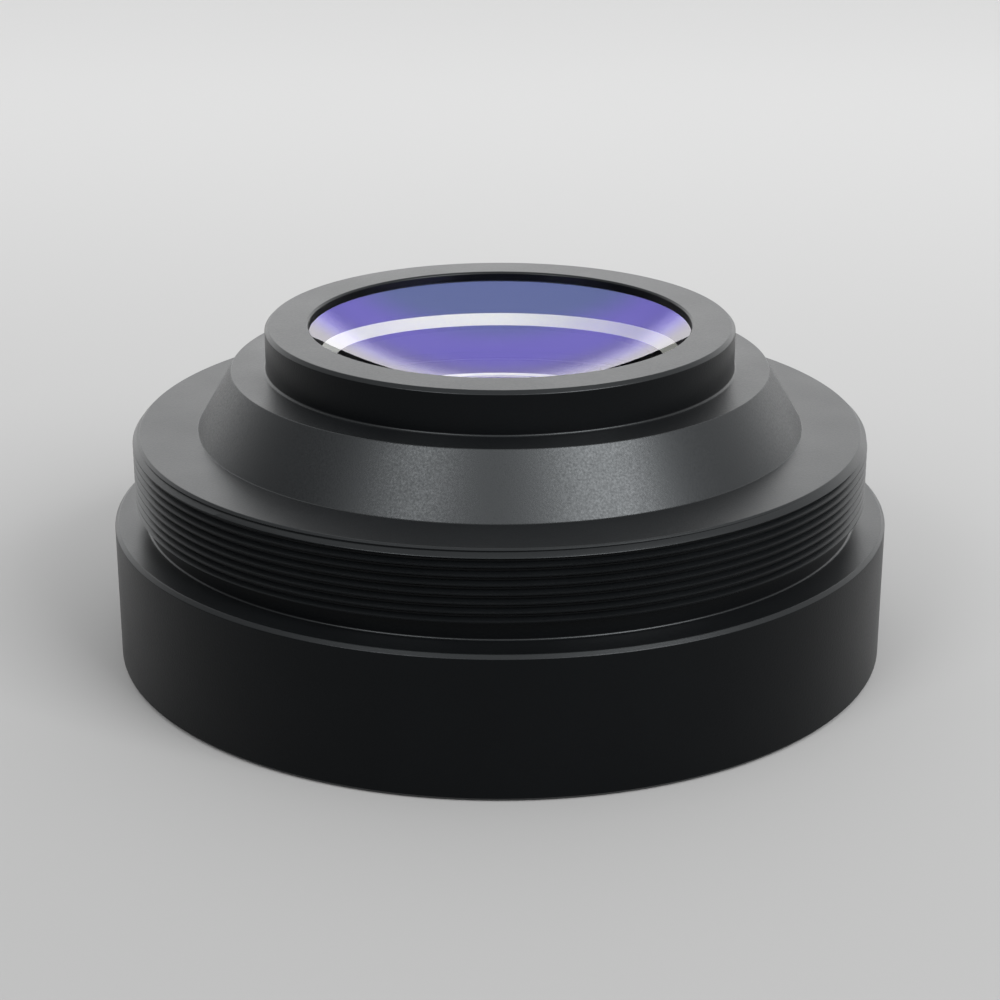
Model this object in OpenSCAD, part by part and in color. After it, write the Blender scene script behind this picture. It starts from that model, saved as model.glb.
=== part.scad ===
// F-theta scan lens for a laser scan head.
// Three glass elements sit in a turned aluminium barrel. The axis is Z, and the
// barrel stands on its front rim at Z = 0, with the beam entrance at the top.

/* [Front rim] */
// How far the front rim stands out past the thread, on the radius
rim_step = 2.5; // [1:0.1:8]
// Height of the front rim
rim_h = 16.4; // [14:0.2:26]
// Chamfer on the rim's two outer edges
rim_chamfer = 0.4; // [0.2:0.1:0.8]

/* [Mounting thread] */
// Nominal diameter of the mounting thread
thread_d = 85; // [82:0.5:87]
// Length of the mounting thread
thread_len = 7.9; // [5:0.1:14]
// Lead-in chamfer at the top of the thread
thread_chamfer = 0.8; // [0.3:0.1:1.5]
// Height of the undercut between the thread and the rim
relief_h = 2.4; // [2.1:0.1:4]
// Depth of the undercut below the thread's crest
relief_depth = 1.3; // [0.7:0.1:1.6]

/* [Nose and cone] */
// Wall of the nose round the entrance lens
nose_wall = 2.45; // [1.5:0.05:4]
// Height of the nose above its shoulder
nose_h = 5; // [3:0.2:10]
// Chamfer on the nose's top outer edge
nose_chamfer = 0.4; // [0.2:0.1:0.8]
// How far the lip reaches over the entrance lens
lip_overlap = 2.5; // [1:0.1:4]
// Thickness of the lip
lip_t = 1.1; // [0.8:0.1:2]
// Width of the flat shoulder between the nose and the cone
shoulder_w = 4; // [2:0.1:5]
// How much the cone widens from the shoulder down to its base, on the radius
cone_flare = 4; // [2:0.1:5]
// Height of the cone
cone_h = 6.8; // [5:0.2:12]

/* [Entrance lens] */
// Diameter of the entrance lens
entrance_lens_d = 49; // [48:0.2:50]
// Thickness at its edge
entrance_lens_edge = 10.2; // [9:0.1:12]
// Radius of its concave upper surface
entrance_lens_upper_r = 38; // [35:0.5:80]
// Wide ground bevel round its lower face
entrance_lens_bevel = 1.7; // [0.5:0.1:2.5]

/* [Spacer] */
// Height of the spacer between the entrance lens and the middle lens
spacer_h = 1.6; // [1:0.1:3]
// Width of the spacer's contact with the entrance lens, inside that lens's bevel
spacer_contact = 1.5; // [1:0.1:3]

/* [Middle lens] */
// Diameter of the middle lens
middle_lens_d = 58; // [56:0.2:60]
// Thickness at its edge
middle_lens_edge = 5; // [4:0.1:7]
// Radius of its concave upper surface
middle_lens_upper_r = 62; // [50:1:200]
// Width of the ground flat round the concave surface
middle_lens_upper_flat = 10; // [7:0.2:12]
// Radius of its convex lower surface
middle_lens_lower_r = 75; // [55:1:150]
// Width of the ground flat round the convex surface
middle_lens_lower_flat = 2.5; // [2:0.1:5]

/* [Inner lock ring] */
// Height of the ring that locks the middle lens
lock_ring_h = 3; // [2:0.1:4]
// How far the lock ring reaches over the middle lens
lock_ring_overlap = 2; // [1:0.1:2.4]
// Depth of its spanner slots
lock_slot_depth = 1.2; // [0.6:0.1:1.8]

/* [Exit lens] */
// Diameter of the exit lens
exit_lens_d = 73; // [70:0.5:75]
// Thickness at its edge
exit_lens_edge = 6.5; // [5:0.1:7.5]
// Radius of its convex lower surface
exit_lens_lower_r = 160; // [150:5:400]
// Width of the ground flat round the convex surface
exit_lens_flat = 2; // [1.7:0.1:4]
// Width of the seat in the barrel that the lens is pressed against
exit_seat_w = 4; // [2:0.1:4.5]

/* [Retaining ring] */
// Height of the front retaining ring
ring_h = 4.5; // [4:0.1:5.5]
// How far the ring's face lies behind the rim's face
ring_recess = 0.5; // [0.2:0.1:1]
// How far the retaining ring reaches over the exit lens
ring_overlap = 1.6; // [0.8:0.1:1.7]
// Width of its two spanner slots
slot_w = 1.1; // [0.6:0.1:3]
// Depth of its two spanner slots
slot_depth = 1.4; // [0.6:0.1:3]
// Direction of the slots round the axis, in degrees
slot_angle = 22; // [0:1:90]

/* [Fits] */
// Radial gap round each lens and the spacer
lens_gap = 0.05; // [0.02:0.01:0.2]
// Radial gap between a threaded ring and its bore
thread_gap = 0.05; // [0.02:0.01:0.2]
// How much wider than its lens the thread of a locking ring is, on the radius
thread_step = 1; // [0.6:0.1:1.5]

/* [Edge finish] */
// Protective bevel on the edges of the lenses
lens_bevel = 0.3; // [0.1:0.1:0.5]
// Small edge break on rings and bores
edge_break = 0.2; // [0.1:0.05:0.3]
// Fillet in the outer corners at the nose and at the undercut
root_r = 0.3; // [0.1:0.1:0.5]

/* [Hidden] */
$fn = 180;
sphere_fn = 360;
root_steps = 4;
run_past = 1;

// Radii of the optical surfaces' edges and of what seats on the flats outside them
entrance_r = entrance_lens_d / 2 - lip_overlap;
spacer_r = entrance_lens_d / 2;
spacer_bore_r = spacer_r - entrance_lens_bevel - spacer_contact;
middle_upper_edge_r = middle_lens_d / 2 - middle_lens_upper_flat;
middle_lower_edge_r = middle_lens_d / 2 - middle_lens_lower_flat;
lock_ring_bore_r = middle_lens_d / 2 - lock_ring_overlap;
exit_edge_r = exit_lens_d / 2 - exit_lens_flat;
ring_bore_r = exit_lens_d / 2 - ring_overlap;

// Bores of the barrel, each a stated gap wider than what fits in it
entrance_bore_r = entrance_lens_d / 2 + lens_gap;
middle_bore_r = middle_lens_d / 2 + lens_gap;
lock_ring_r = middle_lens_d / 2 + thread_step;
lock_bore_r = lock_ring_r + thread_gap;
chamber_r = exit_lens_d / 2 - exit_seat_w;
exit_bore_r = exit_lens_d / 2 + lens_gap;
ring_r = exit_lens_d / 2 + thread_step;
ring_bore_mouth_r = ring_r + thread_gap;

// Outside of the barrel
nose_r = entrance_bore_r + nose_wall;
cone_top_r = nose_r + shoulder_w;
cone_base_r = cone_top_r + cone_flare;
thread_r = thread_d / 2;
relief_r = thread_r - relief_depth;
rim_r = thread_r + rim_step;

// Outer heights, from the front face at Z = 0 up to the nose
relief_top_z = rim_h + relief_h;
flange_z = relief_top_z + thread_len;
shoulder_z = flange_z + cone_h;
nose_z = shoulder_z + nose_h;

// The upper stack hangs from the lip, each piece against the one above it
lip_z = nose_z - lip_t;
entrance_lens_z = lip_z - entrance_lens_edge;
spacer_z = entrance_lens_z - spacer_h;
middle_lens_z = spacer_z - middle_lens_edge;
lock_ring_z = middle_lens_z - lock_ring_h;

// The lower stack builds up from the front face
exit_lens_z = ring_recess + ring_h;
exit_seat_z = exit_lens_z + exit_lens_edge;

// Points of a quarter fillet in an inner corner at [r, z], from the floor up to the wall
function root_fillet(r, z) =
    [for (i = [0 : root_steps])
        let (a = 90 * i / root_steps)
        [r + root_r * (1 - sin(a)), z + root_r * (1 - cos(a))]];

// Body of revolution shared by every ring: [r, z] points turned about the axis
module turned(points) {
    rotate_extrude() polygon(points);
}

// One turned housing: rim, undercut, thread land, cone and nose, bored in steps from the front
module barrel() {
    outside = concat(
        [[ring_bore_mouth_r + edge_break, 0],
         [rim_r - rim_chamfer, 0],
         [rim_r, rim_chamfer],
         [rim_r, rim_h - rim_chamfer],
         [rim_r - rim_chamfer, rim_h]],
        root_fillet(relief_r, rim_h),
        [[relief_r, relief_top_z],
         [thread_r, relief_top_z],
         [thread_r, flange_z - thread_chamfer],
         [thread_r - thread_chamfer, flange_z],
         [cone_base_r, flange_z],
         [cone_top_r, shoulder_z]],
        root_fillet(nose_r, shoulder_z),
        [[nose_r, nose_z - nose_chamfer],
         [nose_r - nose_chamfer, nose_z]]);
    inside = [
        [entrance_r + edge_break, nose_z],
        [entrance_r, nose_z - edge_break],
        [entrance_r, lip_z],
        [entrance_bore_r, lip_z],
        [entrance_bore_r, spacer_z + edge_break],
        [entrance_bore_r + edge_break, spacer_z],
        [middle_bore_r, spacer_z],
        [middle_bore_r, middle_lens_z],
        [lock_bore_r, middle_lens_z],
        [lock_bore_r, lock_ring_z],
        [chamber_r, lock_ring_z],
        [chamber_r, exit_seat_z],
        [exit_bore_r, exit_seat_z],
        [exit_bore_r, exit_lens_z],
        [ring_bore_mouth_r, exit_lens_z],
        [ring_bore_mouth_r, edge_break]];
    color("#16181a") turned(concat(outside, inside));
}

// Spherical cap of chord radius a on the plane Z = 0, with a short skirt below that plane
module cap(a, r) {
    intersection() {
        translate([0, 0, -sqrt(r * r - a * a)]) sphere(r = r, $fn = sphere_fn);
        translate([0, 0, -run_past]) cylinder(r = a, h = run_past + a);
    }
}

// Ground glass disc with bevelled edges, standing on Z = 0
module lens_blank(d, edge, lower_bevel = lens_bevel) {
    turned([
        [0, 0],
        [d / 2 - lower_bevel, 0],
        [d / 2, lower_bevel],
        [d / 2, edge - lens_bevel],
        [d / 2 - lens_bevel, edge],
        [0, edge]]);
}

// Negative element: concave above, flat below
module entrance_lens() {
    color("#7a6fd0") translate([0, 0, entrance_lens_z])
        difference() {
            lens_blank(entrance_lens_d, entrance_lens_edge, entrance_lens_bevel);
            translate([0, 0, entrance_lens_edge]) mirror([0, 0, 1])
                cap(entrance_r, entrance_lens_upper_r);
        }
}

// Plain ring that sets the air gap between the entrance and middle lenses
module spacer_ring() {
    color("#202326") translate([0, 0, spacer_z])
        turned([
            [spacer_bore_r, edge_break],
            [spacer_bore_r + edge_break, 0],
            [spacer_r - edge_break, 0],
            [spacer_r, edge_break],
            [spacer_r, spacer_h - edge_break],
            [spacer_r - edge_break, spacer_h],
            [spacer_bore_r + edge_break, spacer_h],
            [spacer_bore_r, spacer_h - edge_break]]);
}

// Meniscus: concave above inside a ground flat, convex below
module middle_lens() {
    color("#5fb8c8") translate([0, 0, middle_lens_z])
        difference() {
            union() {
                lens_blank(middle_lens_d, middle_lens_edge);
                mirror([0, 0, 1]) cap(middle_lower_edge_r, middle_lens_lower_r);
            }
            translate([0, 0, middle_lens_edge]) mirror([0, 0, 1])
                cap(middle_upper_edge_r, middle_lens_upper_r);
        }
}

// Threaded ring with its face and two spanner slots on the lower side, standing on Z = 0
module threaded_ring(r, bore_r, h, notch_depth) {
    difference() {
        turned([
            [bore_r + edge_break, 0],
            [r - edge_break, 0],
            [r, edge_break],
            [r, h - edge_break],
            [r - edge_break, h],
            [bore_r, h],
            [bore_r, edge_break]]);
        rotate(slot_angle)
            translate([-r - run_past, -slot_w / 2, -run_past])
                cube([2 * (r + run_past), slot_w, run_past + notch_depth]);
    }
}

// Ring that locks the entrance lens, spacer and middle lens against the lip
module inner_lock_ring() {
    color("#202326") translate([0, 0, lock_ring_z])
        threaded_ring(lock_ring_r, lock_ring_bore_r, lock_ring_h, lock_slot_depth);
}

// Positive element: flat above, convex below
module exit_lens() {
    color("#2aa9a4") translate([0, 0, exit_lens_z])
        union() {
            lens_blank(exit_lens_d, exit_lens_edge);
            mirror([0, 0, 1]) cap(exit_edge_r, exit_lens_lower_r);
        }
}

// Ring that holds the exit lens against its seat in the barrel
module retaining_ring() {
    color("#1b1d20") translate([0, 0, ring_recess])
        threaded_ring(ring_r, ring_bore_r, ring_h, slot_depth);
}

barrel();
entrance_lens();
spacer_ring();
middle_lens();
inner_lock_ring();
exit_lens();
retaining_ring();
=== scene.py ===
import math

import bpy
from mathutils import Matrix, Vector


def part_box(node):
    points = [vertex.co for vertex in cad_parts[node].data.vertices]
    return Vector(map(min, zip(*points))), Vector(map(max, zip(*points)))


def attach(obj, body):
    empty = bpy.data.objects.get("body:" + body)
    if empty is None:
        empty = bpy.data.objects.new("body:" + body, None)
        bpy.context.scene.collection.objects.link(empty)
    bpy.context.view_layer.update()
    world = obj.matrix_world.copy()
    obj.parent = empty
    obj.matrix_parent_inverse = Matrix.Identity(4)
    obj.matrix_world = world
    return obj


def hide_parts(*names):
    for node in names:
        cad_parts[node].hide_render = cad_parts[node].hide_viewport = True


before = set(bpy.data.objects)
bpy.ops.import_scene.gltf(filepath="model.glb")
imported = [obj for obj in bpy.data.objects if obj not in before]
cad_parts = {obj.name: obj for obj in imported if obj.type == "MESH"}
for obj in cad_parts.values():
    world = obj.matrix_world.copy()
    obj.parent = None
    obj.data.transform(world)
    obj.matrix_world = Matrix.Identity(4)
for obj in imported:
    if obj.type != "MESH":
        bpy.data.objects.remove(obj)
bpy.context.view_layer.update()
print("frame loaded:", ", ".join(sorted(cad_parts)))

mm = 0.001
aroundSteps = 240   # segments round every turned piece
arcRings = 20   # rings of faces from the axis out to the edge of a spherical surface
poleRadius = 0.3 * mm   # the small ring that closes each disc at its axis
weldGap = 0.001 * mm   # closer points are one point
boreGap = 0.05 * mm   # clearance of a lens or ring in its bore
edgeBreak = 0.2 * mm   # chamfer on the edges of rings and seats
lensBevel = 0.3 * mm

# places that the pieces share, from the frame
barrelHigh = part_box("barrel")[1]
frontRingLow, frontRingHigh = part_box("retaining_ring")
exitLow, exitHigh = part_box("exit_lens")
lockLow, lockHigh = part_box("inner_lock_ring")
middleLow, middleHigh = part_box("middle_lens")
spacerLow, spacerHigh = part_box("spacer_ring")
entranceLow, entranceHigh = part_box("entrance_lens")


def looseSelection():
    if bpy.context.object is not None and bpy.context.object.mode == "EDIT":
        bpy.ops.object.mode_set(mode="OBJECT")
    bpy.ops.object.select_all(action="DESELECT")


def pick(piece):
    looseSelection()
    piece.select_set(True)
    bpy.context.view_layer.objects.active = piece


def pickEdges(piece, wanted):
    # opens the piece for editing, with only the edges selected whose middle is wanted
    pick(piece)
    bpy.ops.object.mode_set(mode="EDIT")
    bpy.ops.mesh.select_mode(type="EDGE")
    bpy.ops.mesh.select_all(action="DESELECT")
    bpy.ops.object.mode_set(mode="OBJECT")
    for edge in piece.data.edges:
        start, end = [piece.data.vertices[index].co for index in edge.vertices]
        edge.select = wanted((start + end) / 2)
    bpy.ops.object.mode_set(mode="EDIT")


def applyAll(piece):
    pick(piece)
    for modifier in list(piece.modifiers):
        bpy.ops.object.modifier_apply(modifier=modifier.name)


def settle(piece, smoothAngle=30):
    # the place goes into the mesh, and only true edges stay sharp
    pick(piece)
    bpy.ops.object.transform_apply(location=True, rotation=True, scale=True)
    bpy.ops.object.shade_smooth_by_angle(angle=math.radians(smoothAngle))


def nextRing(fromPoint, toPoint):
    # extrudes the selected ring of edges to the outline's next point
    bpy.ops.mesh.extrude_edges_move(TRANSFORM_OT_translate={"value": (0, 0, toPoint[1] - fromPoint[1])})
    grow = toPoint[0] / fromPoint[0]
    bpy.ops.transform.resize(value=(grow, grow, 1), center_override=(0, 0, toPoint[1]))


def faceOutwards():
    # ends the editing of a closed mesh
    bpy.ops.mesh.select_all(action="SELECT")
    bpy.ops.mesh.normals_make_consistent(inside=False)
    bpy.ops.object.mode_set(mode="OBJECT")


def turnRing(name, outline):
    # a closed outline of (radius, height) points turned round Z
    looseSelection()
    bpy.ops.mesh.primitive_circle_add(vertices=aroundSteps, radius=outline[0][0],
                                      location=(0, 0, outline[0][1]))
    piece = bpy.context.object
    piece.name = name
    bpy.ops.object.mode_set(mode="EDIT")
    bpy.ops.mesh.select_all(action="SELECT")
    for fromPoint, toPoint in zip(outline, outline[1:]):
        nextRing(fromPoint, toPoint)
    bpy.ops.mesh.select_all(action="DESELECT")
    bpy.ops.mesh.select_non_manifold()
    bpy.ops.mesh.bridge_edge_loops()
    faceOutwards()
    return piece


def turnDisc(name, outline):
    # an outline from the axis out and back to the axis, turned round Z and closed at both poles
    looseSelection()
    bpy.ops.mesh.primitive_circle_add(vertices=aroundSteps, radius=outline[0][0], fill_type="TRIFAN",
                                      location=(0, 0, outline[0][1]))
    piece = bpy.context.object
    piece.name = name
    bpy.ops.object.mode_set(mode="EDIT")
    bpy.ops.mesh.select_all(action="DESELECT")
    bpy.ops.mesh.select_mode(type="EDGE")
    bpy.ops.mesh.select_non_manifold()
    for fromPoint, toPoint in zip(outline, outline[1:]):
        nextRing(fromPoint, toPoint)
    bpy.ops.mesh.extrude_edges_move()
    bpy.ops.mesh.merge(type="CENTER")
    faceOutwards()
    return piece


def softenEdges(piece, width, angle=25, segments=2):
    bevel = piece.modifiers.new("softEdge", "BEVEL")
    bevel.width = width
    bevel.segments = segments
    bevel.limit_method = "ANGLE"
    bevel.angle_limit = math.radians(angle)
    bevel.use_clamp_overlap = True
    applyAll(piece)


def cutAway(piece, tool):
    pick(piece)
    cut = piece.modifiers.new("cut", "BOOLEAN")
    cut.operation = "DIFFERENCE"
    cut.solver = "EXACT"
    cut.object = tool
    applyAll(piece)
    bpy.data.objects.remove(tool, do_unlink=True)
    bpy.ops.object.mode_set(mode="EDIT")
    bpy.ops.mesh.select_all(action="SELECT")
    bpy.ops.mesh.remove_doubles(threshold=weldGap)  # the cut leaves slivers thinner than this
    bpy.ops.object.mode_set(mode="OBJECT")


def cornerFillet(radius, height, size, steps=4):
    # quarter fillet in an inner corner, from the floor up to the wall
    turns = [math.radians(90 * i / steps) for i in range(steps + 1)]
    return [(radius + size * (1 - math.sin(t)), height + size * (1 - math.cos(t))) for t in turns]


def capPoints(edgeRadius, sphereRadius, height):
    # from the pole out to the edge of a spherical surface, whose middle lies lower than its edge
    edgeDepth = math.sqrt(sphereRadius ** 2 - edgeRadius ** 2)
    radii = [max(poleRadius, edgeRadius * i / arcRings) for i in range(arcRings + 1)]
    return [(r, height - (math.sqrt(sphereRadius ** 2 - r ** 2) - edgeDepth)) for r in radii]


def sphereFor(edgeRadius, sag):
    # radius of the sphere whose cap has this edge and this depth
    return (edgeRadius ** 2 + sag ** 2) / (2 * sag)


class Signal:
    # a node's output, which can be added, subtracted and multiplied
    def __init__(self, shader, socket):
        self.shader = shader
        self.socket = socket

    def __add__(self, other):
        return self.shader.maths("ADD", self, other)

    __radd__ = __add__

    def __mul__(self, other):
        return self.shader.maths("MULTIPLY", self, other)

    __rmul__ = __mul__

    def __sub__(self, other):
        return self.shader.maths("SUBTRACT", self, other)

    def __rsub__(self, other):
        return self.shader.maths("SUBTRACT", other, self)


class Shader:
    # the node tree of a material or of the world
    def __init__(self, owner):
        owner.use_nodes = True
        self.owner = owner
        self.nodes = owner.node_tree.nodes
        self.links = owner.node_tree.links
        self.nodes.clear()

    def node(self, kind, settings=None, sockets=None, output=0):
        made = self.nodes.new("ShaderNode" + kind)
        for name, value in (settings or {}).items():
            setattr(made, name, value)
        for name, value in (sockets or {}).items():
            if isinstance(value, Signal):
                self.links.new(value.socket, made.inputs[name])
            else:
                made.inputs[name].default_value = value
        return Signal(self, made.outputs[output]) if made.outputs else made

    def maths(self, operation, left, right):
        return self.node("Math", {"operation": operation}, {0: left, 1: right})

    def mixColours(self, factor, first, second):
        # sockets 6 and 7 and output 2 are the colour ones
        return self.node("Mix", {"data_type": "RGBA"}, {0: factor, 6: first, 7: second}, output=2)

    def blend(self, value, low, high):
        # 0 below low, 1 above high, smooth between them
        return self.node("MapRange", {"interpolation_type": "SMOOTHSTEP"}, {0: value, 1: low, 2: high})

    def noise(self, place, scale, detail):
        return self.node("TexNoise", None, {"Vector": place, "Scale": scale, "Detail": detail})

    def objectPlace(self):
        return self.node("TexCoord", output=3)

    def surface(self, shader):
        kind = "OutputWorld" if isinstance(self.owner, bpy.types.World) else "OutputMaterial"
        self.node(kind, None, {"Surface": shader})
        return self.owner


def newMaterial(name):
    return Shader(bpy.data.materials.new(name))


def opaque(tone, share=1.0):
    # a colour of three channels as the four that a socket takes
    return [channel * share for channel in tone] + [1]


slotTurn = math.radians(22)   # the spanner slots of the front and lock rings lie along this direction
scuffRadius = 36.2 * mm
ringScuff = {
    "place": (scuffRadius * math.cos(slotTurn), scuffRadius * math.sin(slotTurn), frontRingLow.z),
    "core": 0.8 * mm,   # scratched most within this distance
    "reach": 1.9 * mm,  # and not at all past this one
    "stretch": (0.2, 1, 1),  # the scratches are long along X, near the slot's own direction
    "scale": 1800,
    "detail": 2.0,
    "threshold": (0.42, 0.55),
    "metal": (0.72, 0.72, 0.7, 1),
}
anodising = {
    "cloudScale": 90,   # slow clouds, about 11 mm across
    "cloudDetail": 3.0,
    "cloudTone": 0.25,  # share by which the tone goes up and down with them
    "cloudRough": 0.1,
    "speckScale": 4200,  # fine grain, about 0.24 mm across
    "speckDetail": 2.0,
    "tint": (0.92, 0.97, 1, 1),
}
skins = {
    # the turned walls and faces are one turned anodising: the walls' darker tone and weaker gloss are painted
    # shade, and the edges' middling ones partly so
    "turnedWall": {"tone": (0.0015, 0.0018, 0.0022), "roughness": 0.34, "grain": 0.012 * mm, "gloss": 0.13},
    "turnedFace": {"tone": (0.003, 0.0035, 0.004), "roughness": 0.36, "grain": 0.012 * mm, "gloss": 0.5},
    "blastedCone": {"tone": (0.002, 0.0024, 0.003), "roughness": 0.4, "grain": 0.006 * mm, "gloss": 0.5,
                    "sparkle": 0.3},
    "turnedEdge": {"tone": (0.0025, 0.003, 0.0035), "roughness": 0.34, "grain": 0.006 * mm, "gloss": 0.34},
    "ringAnodised": {"tone": (0.006, 0.006, 0.0065), "roughness": 0.3, "grain": 0.004 * mm,
                     "scuff": ringScuff},
    "edgePaint": {"tone": (0.003, 0.003, 0.0035), "roughness": 0.8, "grain": 0.002 * mm},
    "innerAnodised": {"tone": (0.005, 0.005, 0.0055), "roughness": 0.5, "grain": 0.006 * mm},
}


def scratches(shader, place, scuff):
    # 1 where the skin is scratched through to bare metal
    away = shader.node("VectorMath", {"operation": "DISTANCE"}, {0: place, 1: scuff["place"]}, output=1)
    stretched = shader.node("Mapping", None, {"Vector": place, "Rotation": (0, 0, -slotTurn),
                                              "Scale": scuff["stretch"]})
    streaks = shader.blend(shader.noise(stretched, scuff["scale"], scuff["detail"]), *scuff["threshold"])
    return streaks * (1 - shader.blend(away, scuff["core"], scuff["reach"]))


def anodised(name, tone, roughness, grain, gloss=0.15, sparkle=0.1, scuff=None):
    # aluminium, anodised black, or black paint; sparkle is how much the roughness follows the grain
    a = anodising
    shader = newMaterial(name)
    place = shader.objectPlace()
    cloud = shader.noise(place, a["cloudScale"], a["cloudDetail"])
    speck = shader.noise(place, a["speckScale"], a["speckDetail"])
    colour = shader.mixColours(cloud, opaque(tone, 1 - a["cloudTone"]), opaque(tone, 1 + a["cloudTone"]))
    rough = roughness + a["cloudRough"] * (cloud - 0.5) + sparkle * (speck - 0.5)
    bump = shader.node("Bump", None, {"Strength": 1.0, "Distance": grain, "Height": speck})
    sockets = {"Base Color": colour, "Roughness": rough, "Normal": bump, "Specular IOR Level": gloss,
               "Specular Tint": a["tint"]}
    if scuff:
        bare = scratches(shader, place, scuff)
        sockets["Base Color"] = shader.mixColours(bare, colour, scuff["metal"])
        sockets["Metallic"] = bare
    return shader.surface(shader.node("BsdfPrincipled", None, sockets))


# what each coating reflects of light that meets it steeply, at a slant and low, and where one tint turns into
# the next and fades into the last, from 0 for light straight on to 1 for light along the surface
blueTints = {"steep": (0.05, 0.1, 0.3), "slant": (0.14, 0.1, 0.42), "low": (0.35, 0.3, 0.45),
             "turn": (0.3, 0.6), "fade": (0.6, 0.9)}
coats = {
    "violetCoat": {"steep": (0.13, 0.16, 0.35), "slant": (0.18, 0.155, 0.53), "low": (0.28, 0.27, 0.29),
                   "turn": (0.32, 0.45), "fade": (0.49, 0.72), "ior": 1.75},
    "violetBack": {**blueTints, "ior": 1.75},
    "cyanCoat": {"steep": (0.04, 0.16, 0.22), "slant": (0.08, 0.2, 0.3), "low": (0.3, 0.35, 0.4),
                 "turn": (0.3, 0.6), "fade": (0.6, 0.9), "ior": 1.52},
    "tealCoat": {"steep": (0.02, 0.3, 0.26), "slant": (0.05, 0.32, 0.34), "low": (0.3, 0.4, 0.4),
                 "turn": (0.3, 0.6), "fade": (0.6, 0.9), "ior": 1.52},
    "blueCoat": {**blueTints, "ior": 1.52},
}
glassLight = {
    "whole": (0.85, 1.0),   # where the coating passes into a full mirror
    "caught": (0.5, 1.0),   # the same for light inside the glass, by its Fresnel reflection
    "lampTint": (0.5, 0.5, 0.54, 1),
}


def coatedGlass(name, steep, slant, low, turn, fade, ior):
    # polished glass under a coating: light caught inside it is reflected whole, and lamps shine through
    shader = newMaterial(name)
    facing = shader.node("LayerWeight", None, {"Blend": 0.5}, output=1)
    inside = shader.node("NewGeometry", output=6)  # 1 on the back of a face
    fresnel = shader.node("Fresnel", None, {"IOR": ior})

    def mirror(tint):
        return shader.node("BsdfAnisotropic", None, {"Color": opaque(tint), "Roughness": 0.0})

    def pane(tint):
        passed = opaque([1 - channel for channel in tint])
        through = shader.node("BsdfRefraction", None, {"Color": passed, "Roughness": 0.0, "IOR": ior})
        return shader.node("AddShader", None, {0: mirror(tint), 1: through})

    def mixed(factor, first, second):
        return shader.node("MixShader", None, {0: factor, 1: first, 2: second})

    whole = mirror((1, 1, 1))
    outer = mixed(shader.blend(facing, *turn), pane(steep), pane(slant))
    outer = mixed(shader.blend(facing, *fade), outer, pane(low))
    outer = mixed(shader.blend(facing, *glassLight["whole"]), outer, whole)
    inner = mixed(shader.blend(fresnel, *glassLight["caught"]), pane(steep), whole)
    lampRay = shader.node("LightPath", output=1)  # 1 for a ray on its way to a lamp
    clear = shader.node("BsdfTransparent", None, {"Color": glassLight["lampTint"]})
    return shader.surface(mixed(lampRay, mixed(inside, outer, inner), clear))


grinding = {
    "scale": 2600,   # ground pits, about 0.38 mm across
    "detail": 3.0,
    "darkest": 0.9,  # share of the tone in the pits
    "strength": 0.5,
    "depth": 0.02 * mm,
    "roughness": 0.7,
}
# the middle lens's ground flats take a dark grey tone, painted shade inside the bore; the frosted bevel's
# pale tone is the glass's own
groundTones = {"frostedGlass": (0.96, 0.97, 0.98), "groundFlat": (0.22, 0.25, 0.27)}


def groundGlass(name, tone):
    g = grinding
    shader = newMaterial(name)
    frost = shader.noise(shader.objectPlace(), g["scale"], g["detail"])
    colour = shader.mixColours(frost, opaque(tone, g["darkest"]), opaque(tone))
    bump = shader.node("Bump", None, {"Strength": g["strength"], "Distance": g["depth"], "Height": frost})
    return shader.surface(shader.node("BsdfPrincipled", None, {
        "Base Color": colour, "Roughness": g["roughness"], "Normal": bump}))


finishes = {name: anodised(name, **skin) for name, skin in skins.items()}
finishes.update({name: coatedGlass(name, **coat) for name, coat in coats.items()})
finishes.update({name: groundGlass(name, tone) for name, tone in groundTones.items()})
print("finishes made:", len(finishes))


def paint(piece, names, finishAt):
    # finishAt(radius, height, up) names a face's finish from its place and how far its normal points up
    for name in names:
        piece.data.materials.append(finishes[name])
    for face in piece.data.polygons:
        x, y, z = face.center
        face.material_index = names.index(finishAt(math.hypot(x, y), z, face.normal.z))


barrelParts = {
    "rimHeight": 16.4 * mm,
    "rimChamfer": 0.4 * mm,
    "reliefRadius": 41.2 * mm,
    "reliefHeight": 2.4 * mm,
    "threadRadius": 42.5 * mm,
    "threadLength": 7.9 * mm,
    "threadChamfer": 0.8 * mm,
    "coneBase": 35.0 * mm,
    "coneTop": 31.0 * mm,
    "coneHeight": 6.8 * mm,
    "noseRadius": 27.0 * mm,
    "noseChamfer": 0.4 * mm,
    "entranceRadius": 22.0 * mm,
    "chamberRadius": 32.5 * mm,
    "fillet": 0.3 * mm,
    "softEdge": 0.06 * mm,
    "faceUp": 0.9,   # a normal that points up more than this is a flat face
    "wallUp": 0.3,   # and one that points up or down less than this is a wall
}
threadShape = {
    "pitch": 1.0 * mm,
    "depth": 0.613 * mm,
    "mouth": 0.875 * mm,
    "root": 0.167 * mm,
    "reach": 0.6 * mm,      # how far the cutter stands out past the crest
    "startAbove": 1.3 * mm,  # its first turn starts this far above the rim, in the undercut
    "turns": 11,
}


def barrelLevels(b):
    # heights of the undercut's top, the flange and the nose's shoulder
    reliefTop = b["rimHeight"] + b["reliefHeight"]
    flange = reliefTop + b["threadLength"]
    return reliefTop, flange, flange + b["coneHeight"]


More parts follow.
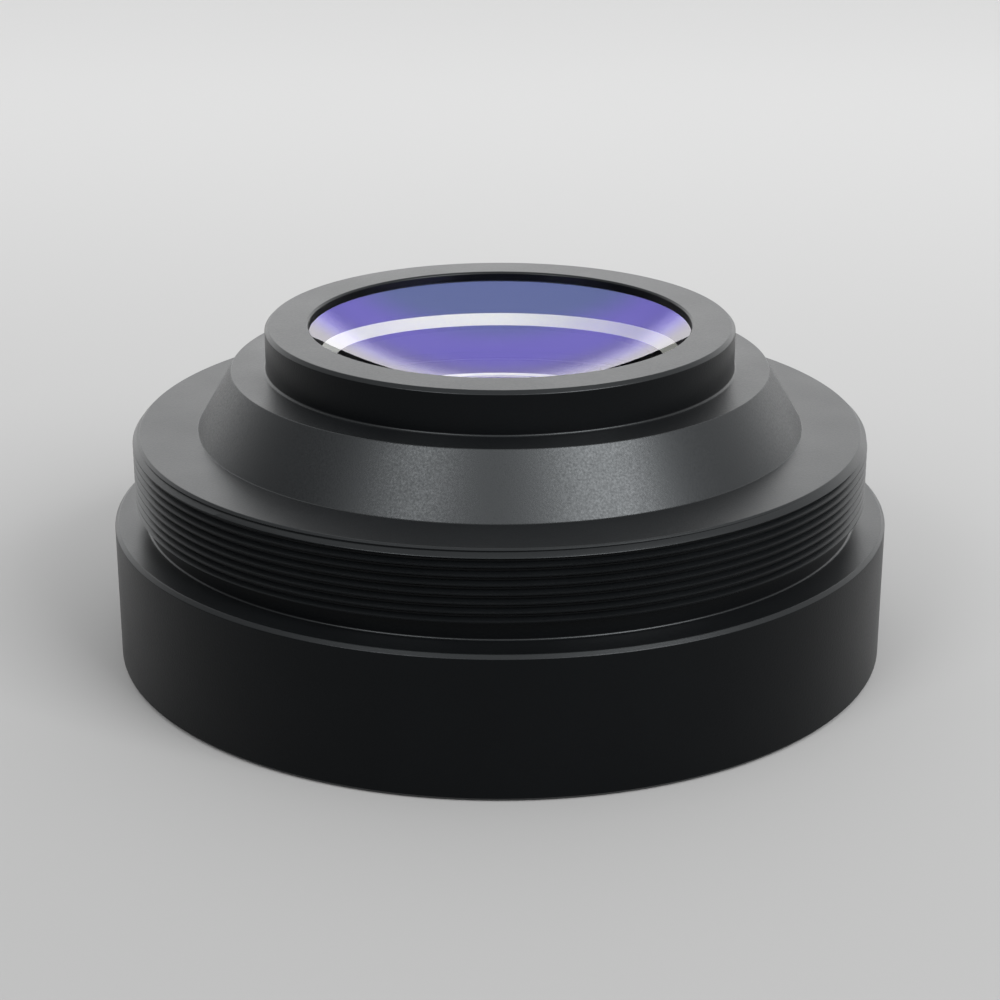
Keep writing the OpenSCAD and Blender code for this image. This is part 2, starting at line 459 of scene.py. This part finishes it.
def barrelOutside(b, mouth):
    rimRadius, top = barrelHigh.x, barrelHigh.z
    rim, chamfer, relief, thread, nose = [b[name] for name in (
        "rimHeight", "rimChamfer", "reliefRadius", "threadRadius", "noseRadius")]
    reliefTop, flange, shoulder = barrelLevels(b)
    points = [(mouth + edgeBreak, 0), (rimRadius - chamfer, 0), (rimRadius, chamfer),
              (rimRadius, rim - chamfer), (rimRadius - chamfer, rim)]
    points += cornerFillet(relief, rim, b["fillet"])
    points += [(relief, reliefTop), (thread, reliefTop), (thread, flange - b["threadChamfer"]),
               (thread - b["threadChamfer"], flange), (b["coneBase"], flange), (b["coneTop"], shoulder)]
    points += cornerFillet(nose, shoulder, b["fillet"])
    return points + [(nose, top - b["noseChamfer"]), (nose - b["noseChamfer"], top)]


def barrelInside(b, mouth):
    # the stepped bore, from the entrance down to the front ring's seat
    top = barrelHigh.z
    entrance, chamber = b["entranceRadius"], b["chamberRadius"]
    entranceBore, middleBore, lockBore, exitBore = [high.x + boreGap for high in (
        entranceHigh, middleHigh, lockHigh, exitHigh)]
    return [(entrance + edgeBreak, top), (entrance, top - edgeBreak), (entrance, entranceHigh.z),
            (entranceBore, entranceHigh.z), (entranceBore, spacerLow.z + edgeBreak),
            (entranceBore + edgeBreak, spacerLow.z), (middleBore, spacerLow.z), (middleBore, lockHigh.z),
            (lockBore, lockHigh.z), (lockBore, lockLow.z), (chamber, lockLow.z), (chamber, exitHigh.z),
            (exitBore, exitHigh.z), (exitBore, frontRingHigh.z), (mouth, frontRingHigh.z),
            (mouth, edgeBreak)]


def threadCutter(b, t):
    # one section of the groove, carried round and up the land by the screw modifier
    crest = b["threadRadius"]
    middle = b["rimHeight"] + t["startAbove"]
    looseSelection()
    bpy.ops.mesh.primitive_plane_add(size=1, location=(crest + t["reach"] / 2, 0, middle),
                                     rotation=(math.radians(90), 0, 0))
    cutter = bpy.context.object
    bpy.ops.transform.resize(value=(t["reach"], t["mouth"], 1), orient_type="LOCAL")
    bpy.ops.object.transform_apply(location=True, rotation=True, scale=True)

    def onCrest(place):
        return abs(place.x - crest) < weldGap

    pickEdges(cutter, onCrest)
    bpy.ops.mesh.extrude_edges_move(TRANSFORM_OT_translate={"value": (-t["depth"], 0, 0)})
    bpy.ops.transform.resize(value=(1, 1, t["root"] / t["mouth"]),
                             center_override=(crest - t["depth"], 0, middle))
    pickEdges(cutter, onCrest)
    bpy.ops.mesh.delete(type="EDGE_FACE")  # leaves the section's outline
    screw = cutter.modifiers.new("helix", "SCREW")
    screw.screw_offset = t["pitch"]
    screw.iterations = t["turns"]
    screw.steps = aroundSteps
    screw.render_steps = aroundSteps
    screw.use_merge_vertices = False
    screw.use_smooth_shade = False
    applyAll(cutter)
    bpy.ops.object.mode_set(mode="EDIT")
    bpy.ops.mesh.select_all(action="DESELECT")
    bpy.ops.mesh.select_non_manifold()
    bpy.ops.mesh.edge_face_add()
    faceOutwards()
    return cutter


def makeBarrel(b, t):
    mouth = frontRingHigh.x + boreGap
    piece = turnRing("barrelBody", barrelOutside(b, mouth) + barrelInside(b, mouth))
    settle(piece)
    softenEdges(piece, b["softEdge"])
    cutAway(piece, threadCutter(b, t))
    settle(piece)
    coneFoot, shoulder = barrelLevels(b)[1:]

    def finishAt(radius, height, up):
        if up > b["faceUp"]:
            return "turnedFace"
        # the walls take the darker, less glossy copy of the turned finish: painted shade
        if abs(up) < b["wallUp"]:
            return "turnedWall"
        return "blastedCone" if coneFoot < height < shoulder else "turnedEdge"

    paint(piece, ["turnedWall", "turnedFace", "blastedCone", "turnedEdge"], finishAt)
    return piece


barrel = makeBarrel(barrelParts, threadShape)
print("barrel turned and threaded:", len(barrel.data.polygons), "faces")


ringParts = {
    "slotWidth": 1.1 * mm,
    "slotRunOut": 1.0 * mm,  # how far the mill runs out past the ring
    "softEdge": 0.05 * mm,
}
frontParts = {"bore": 34.9 * mm, "slotDepth": 1.4 * mm, "finish": "ringAnodised"}
lockParts = {"bore": 27.0 * mm, "slotDepth": 1.2 * mm, "finish": "innerAnodised"}
spacerParts = {"wall": 3.2 * mm, "finish": "innerAnodised"}


def cutSlots(ring, outer, low, depth):
    # two spanner slots, cut across the lower face in one pass
    reach = 2 * (outer + ringParts["slotRunOut"])
    looseSelection()
    bpy.ops.mesh.primitive_cube_add(size=1, location=(0, 0, low), rotation=(0, 0, slotTurn))
    mill = bpy.context.object
    bpy.ops.transform.resize(value=(reach, ringParts["slotWidth"], 2 * depth), orient_type="LOCAL")
    bpy.ops.object.transform_apply(location=True, rotation=True, scale=True)
    cutAway(ring, mill)


def makeRing(name, lowCorner, highCorner, finish, bore=None, wall=None, slotDepth=None):
    # as wide and high as its node, with either its bore or its wall given, and its edges broken
    outer, low, high = highCorner.x, lowCorner.z, highCorner.z
    bore = bore or outer - wall
    ring = turnRing(name, [
        (bore + edgeBreak, low), (outer - edgeBreak, low), (outer, low + edgeBreak),
        (outer, high - edgeBreak), (outer - edgeBreak, high), (bore + edgeBreak, high),
        (bore, high - edgeBreak), (bore, low + edgeBreak)])
    settle(ring)
    softenEdges(ring, ringParts["softEdge"])
    if slotDepth:
        cutSlots(ring, outer, low, slotDepth)
    settle(ring)
    paint(ring, [finish], lambda radius, height, up: finish)
    return ring


frontRing = makeRing("frontRing", frontRingLow, frontRingHigh, **frontParts)
lockRing = makeRing("lockRing", lockLow, lockHigh, **lockParts)
spacerRing = makeRing("spacerRing", spacerLow, spacerHigh, **spacerParts)
print("rings made")


lensSmoothAngle = 3   # keeps the ground edges crisp against the polished surfaces
entranceParts = {
    "upperEdge": 22.0 * mm,    # radius where the polished hollow ends
    "upperSphere": 38.0 * mm,
    "lowerBevel": 1.7 * mm,
    "flatDown": -0.9,   # a normal below this belongs to the flat lower face
    "hollowUp": 0.5,    # and one above this to the hollow, inside its edge
}
middleParts = {
    "upperEdge": 19.0 * mm,
    "upperSphere": 62.0 * mm,
    "lowerEdge": 26.5 * mm,
    "flatUp": 0.5,
}
exitParts = {
    "lowerEdge": 34.5 * mm,
    "flatUp": 0.9,
    "bulgeDown": -0.7,
}


def lensSide(outer, low, high, lowBevel=lensBevel):
    return [(outer - lowBevel, low), (outer, low + lowBevel), (outer, high - lensBevel),
            (outer - lensBevel, high)]


def bulgeBelow(lowerEdge, flatLow, pole):
    # the convex lower surface, from the pole out to the flat round it
    return capPoints(lowerEdge, sphereFor(lowerEdge, flatLow - pole), flatLow)


def makeEntranceLens(p):
    low, high = entranceLow.z, entranceHigh.z
    hollow = capPoints(p["upperEdge"], p["upperSphere"], high)
    side = lensSide(entranceHigh.x, low, high, p["lowerBevel"])
    lens = turnDisc("entranceLens", [(poleRadius, low)] + side + hollow[::-1])
    settle(lens, lensSmoothAngle)

    def finishAt(radius, height, up):
        if up < p["flatDown"]:
            return "violetBack"
        if height < low + p["lowerBevel"]:
            return "frostedGlass"
        return "violetCoat" if radius < p["upperEdge"] and up > p["hollowUp"] else "edgePaint"

    paint(lens, ["violetCoat", "violetBack", "frostedGlass", "edgePaint"], finishAt)
    return lens


def makeMiddleLens(p):
    flatLow, flatHigh = lockHigh.z, middleHigh.z
    bulge = bulgeBelow(p["lowerEdge"], flatLow, middleLow.z)
    hollow = capPoints(p["upperEdge"], p["upperSphere"], flatHigh)
    lens = turnDisc("middleLens", bulge + lensSide(middleHigh.x, flatLow, flatHigh) + hollow[::-1])
    settle(lens, lensSmoothAngle)

    def finishAt(radius, height, up):
        # the ground rim and flat are dark grey: painted shade
        if radius > p["lowerEdge"] or (up > p["flatUp"] and radius > p["upperEdge"]):
            return "groundFlat"
        return "cyanCoat" if up > 0 else "tealCoat"

    paint(lens, ["cyanCoat", "tealCoat", "groundFlat"], finishAt)
    return lens


def makeExitLens(p):
    flatLow, flatHigh = frontRingHigh.z, exitHigh.z
    bulge = bulgeBelow(p["lowerEdge"], flatLow, exitLow.z)
    side = lensSide(exitHigh.x, flatLow, flatHigh)
    lens = turnDisc("exitLens", bulge + side + [(poleRadius, flatHigh)])
    settle(lens, lensSmoothAngle)

    def finishAt(radius, height, up):
        if up > p["flatUp"]:
            return "tealCoat"
        return "blueCoat" if up < p["bulgeDown"] else "innerAnodised"

    paint(lens, ["tealCoat", "blueCoat", "innerAnodised"], finishAt)
    return lens


entranceLens = makeEntranceLens(entranceParts)
middleLens = makeMiddleLens(middleParts)
exitLens = makeExitLens(exitParts)
print("lenses ground")

for piece, node, slot in (
        (barrel, "barrel", "anodised_barrel"),
        (frontRing, "retaining_ring", "front_ring"),
        (lockRing, "inner_lock_ring", "inner_rings"),
        (spacerRing, "spacer_ring", "inner_rings"),
        (entranceLens, "entrance_lens", "entrance_glass"),
        (middleLens, "middle_lens", "middle_glass"),
        (exitLens, "exit_lens", "exit_glass")):
    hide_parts(node)
    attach(piece, "root")
print("pieces seated on the frame")


stageParts = {
    "half": 2.5,
    # painted shade: the floor turns darker towards the camera's side, in front of the lens
    "nearEdge": -0.15,   # nearPaintedShadeTone up to here, on the camera's side
    "farEdge": 0.4,      # farTone from here on, behind the lens
    "nearPaintedShadeTone": (0.31, 0.31, 0.31),
    "farTone": (0.63, 0.63, 0.63),
    "roughness": 0.9,
    "gloss": 0.2,
}
lampAim = (0, 0, 0.02)
lamps = {
    "rightKey": {"place": (0.33, -0.35, 0.38), "size": (0.34, 0.25), "power": 2.8},
    "leftFill": {"place": (-0.27, -0.39, 0.38), "size": (0.22, 0.2), "power": 1.0},
}
# the world's strength all round, and what it gains or loses on each side; a span is where a side comes in
# along its own axis, and a top is where it goes out again with height
sky = {
    "level": 0.75,
    "behindGain": 1.15, "behindSpan": (0.1, 0.9), "behindTop": (0.34, 0.56),
    "frontLoss": 0.5, "frontSpan": (0.0, 0.8), "frontTop": (0.0, 0.6),
    "leftLoss": 0.45, "leftSpan": (0.3, 1.0),
    "aboveGain": 0.2, "aboveSpan": (0.35, 0.65),
    "aheadGain": 0.5, "aheadSpan": (0.1, 0.7), "aheadTop": (0.85, 0.97),
}
cameraPlace = {
    "distance": 282.1 * mm,
    "elevation": 23.37,
    "aim": (0, 0, 16.5 * mm),
    "sensor": 36.0,
    "focal": 84.0,
}


def makeStage(s):
    looseSelection()
    bpy.ops.mesh.primitive_plane_add(size=2 * s["half"])
    floor = bpy.context.object
    floor.name = "floor"
    shader = newMaterial("paleFloor")
    back = shader.node("SeparateXYZ", None, {0: shader.objectPlace()}, output=1)
    # the tone darkens towards the camera's side: painted shade on the floor in front of the lens
    tone = shader.mixColours(shader.blend(back, s["nearEdge"], s["farEdge"]),
                             opaque(s["nearPaintedShadeTone"]), opaque(s["farTone"]))
    floor.data.materials.append(shader.surface(shader.node("BsdfPrincipled", None, {
        "Base Color": tone, "Roughness": s["roughness"], "Specular IOR Level": s["gloss"]})))


def lookAt(thing, place, aim):
    thing.location = place
    thing.rotation_euler = (Vector(aim) - Vector(place)).to_track_quat("-Z", "Y").to_euler()


def areaLamp(name, place, size, power):
    data = bpy.data.lights.new(name, "AREA")
    data.shape = "RECTANGLE"
    data.size, data.size_y = size
    data.energy = power
    lamp = bpy.data.objects.new(name, data)
    bpy.context.scene.collection.objects.link(lamp)
    lookAt(lamp, place, lampAim)
    lamp.visible_camera = False


def makeSky(s):
    world = Shader(bpy.data.worlds.new("studio"))
    direction = world.node("TexCoord")
    side, back, up = [world.node("SeparateXYZ", None, {0: direction}, output=axis) for axis in range(3)]
    behind = world.blend(back, *s["behindSpan"]) * (1 - world.blend(up, *s["behindTop"]))
    front = world.blend(0 - back, *s["frontSpan"]) * (1 - world.blend(up, *s["frontTop"]))
    left = world.blend(0 - side, *s["leftSpan"])
    above = world.blend(up, *s["aboveSpan"])
    ahead = world.blend(0 - back, *s["aheadSpan"]) * above * (1 - world.blend(up, *s["aheadTop"]))
    level = (s["level"] + s["behindGain"] * behind - s["frontLoss"] * front - s["leftLoss"] * left
             + s["aboveGain"] * above + s["aheadGain"] * ahead)
    light = world.node("Background", None, {"Color": (1, 1, 1, 1), "Strength": level})
    bpy.context.scene.world = world.surface(light)


def makeCamera(c):
    tilt = math.radians(c["elevation"])
    data = bpy.data.cameras.new("view")
    data.sensor_width = c["sensor"]
    data.lens = c["focal"]
    camera = bpy.data.objects.new("view", data)
    bpy.context.scene.collection.objects.link(camera)
    lookAt(camera, (0, -c["distance"] * math.cos(tilt), c["distance"] * math.sin(tilt)), c["aim"])
    bpy.context.scene.camera = camera


makeStage(stageParts)
for name, lamp in lamps.items():
    areaLamp(name, **lamp)
makeSky(sky)
makeCamera(cameraPlace)
bpy.context.scene.view_settings.view_transform = "Standard"
print("stage, light and camera set")
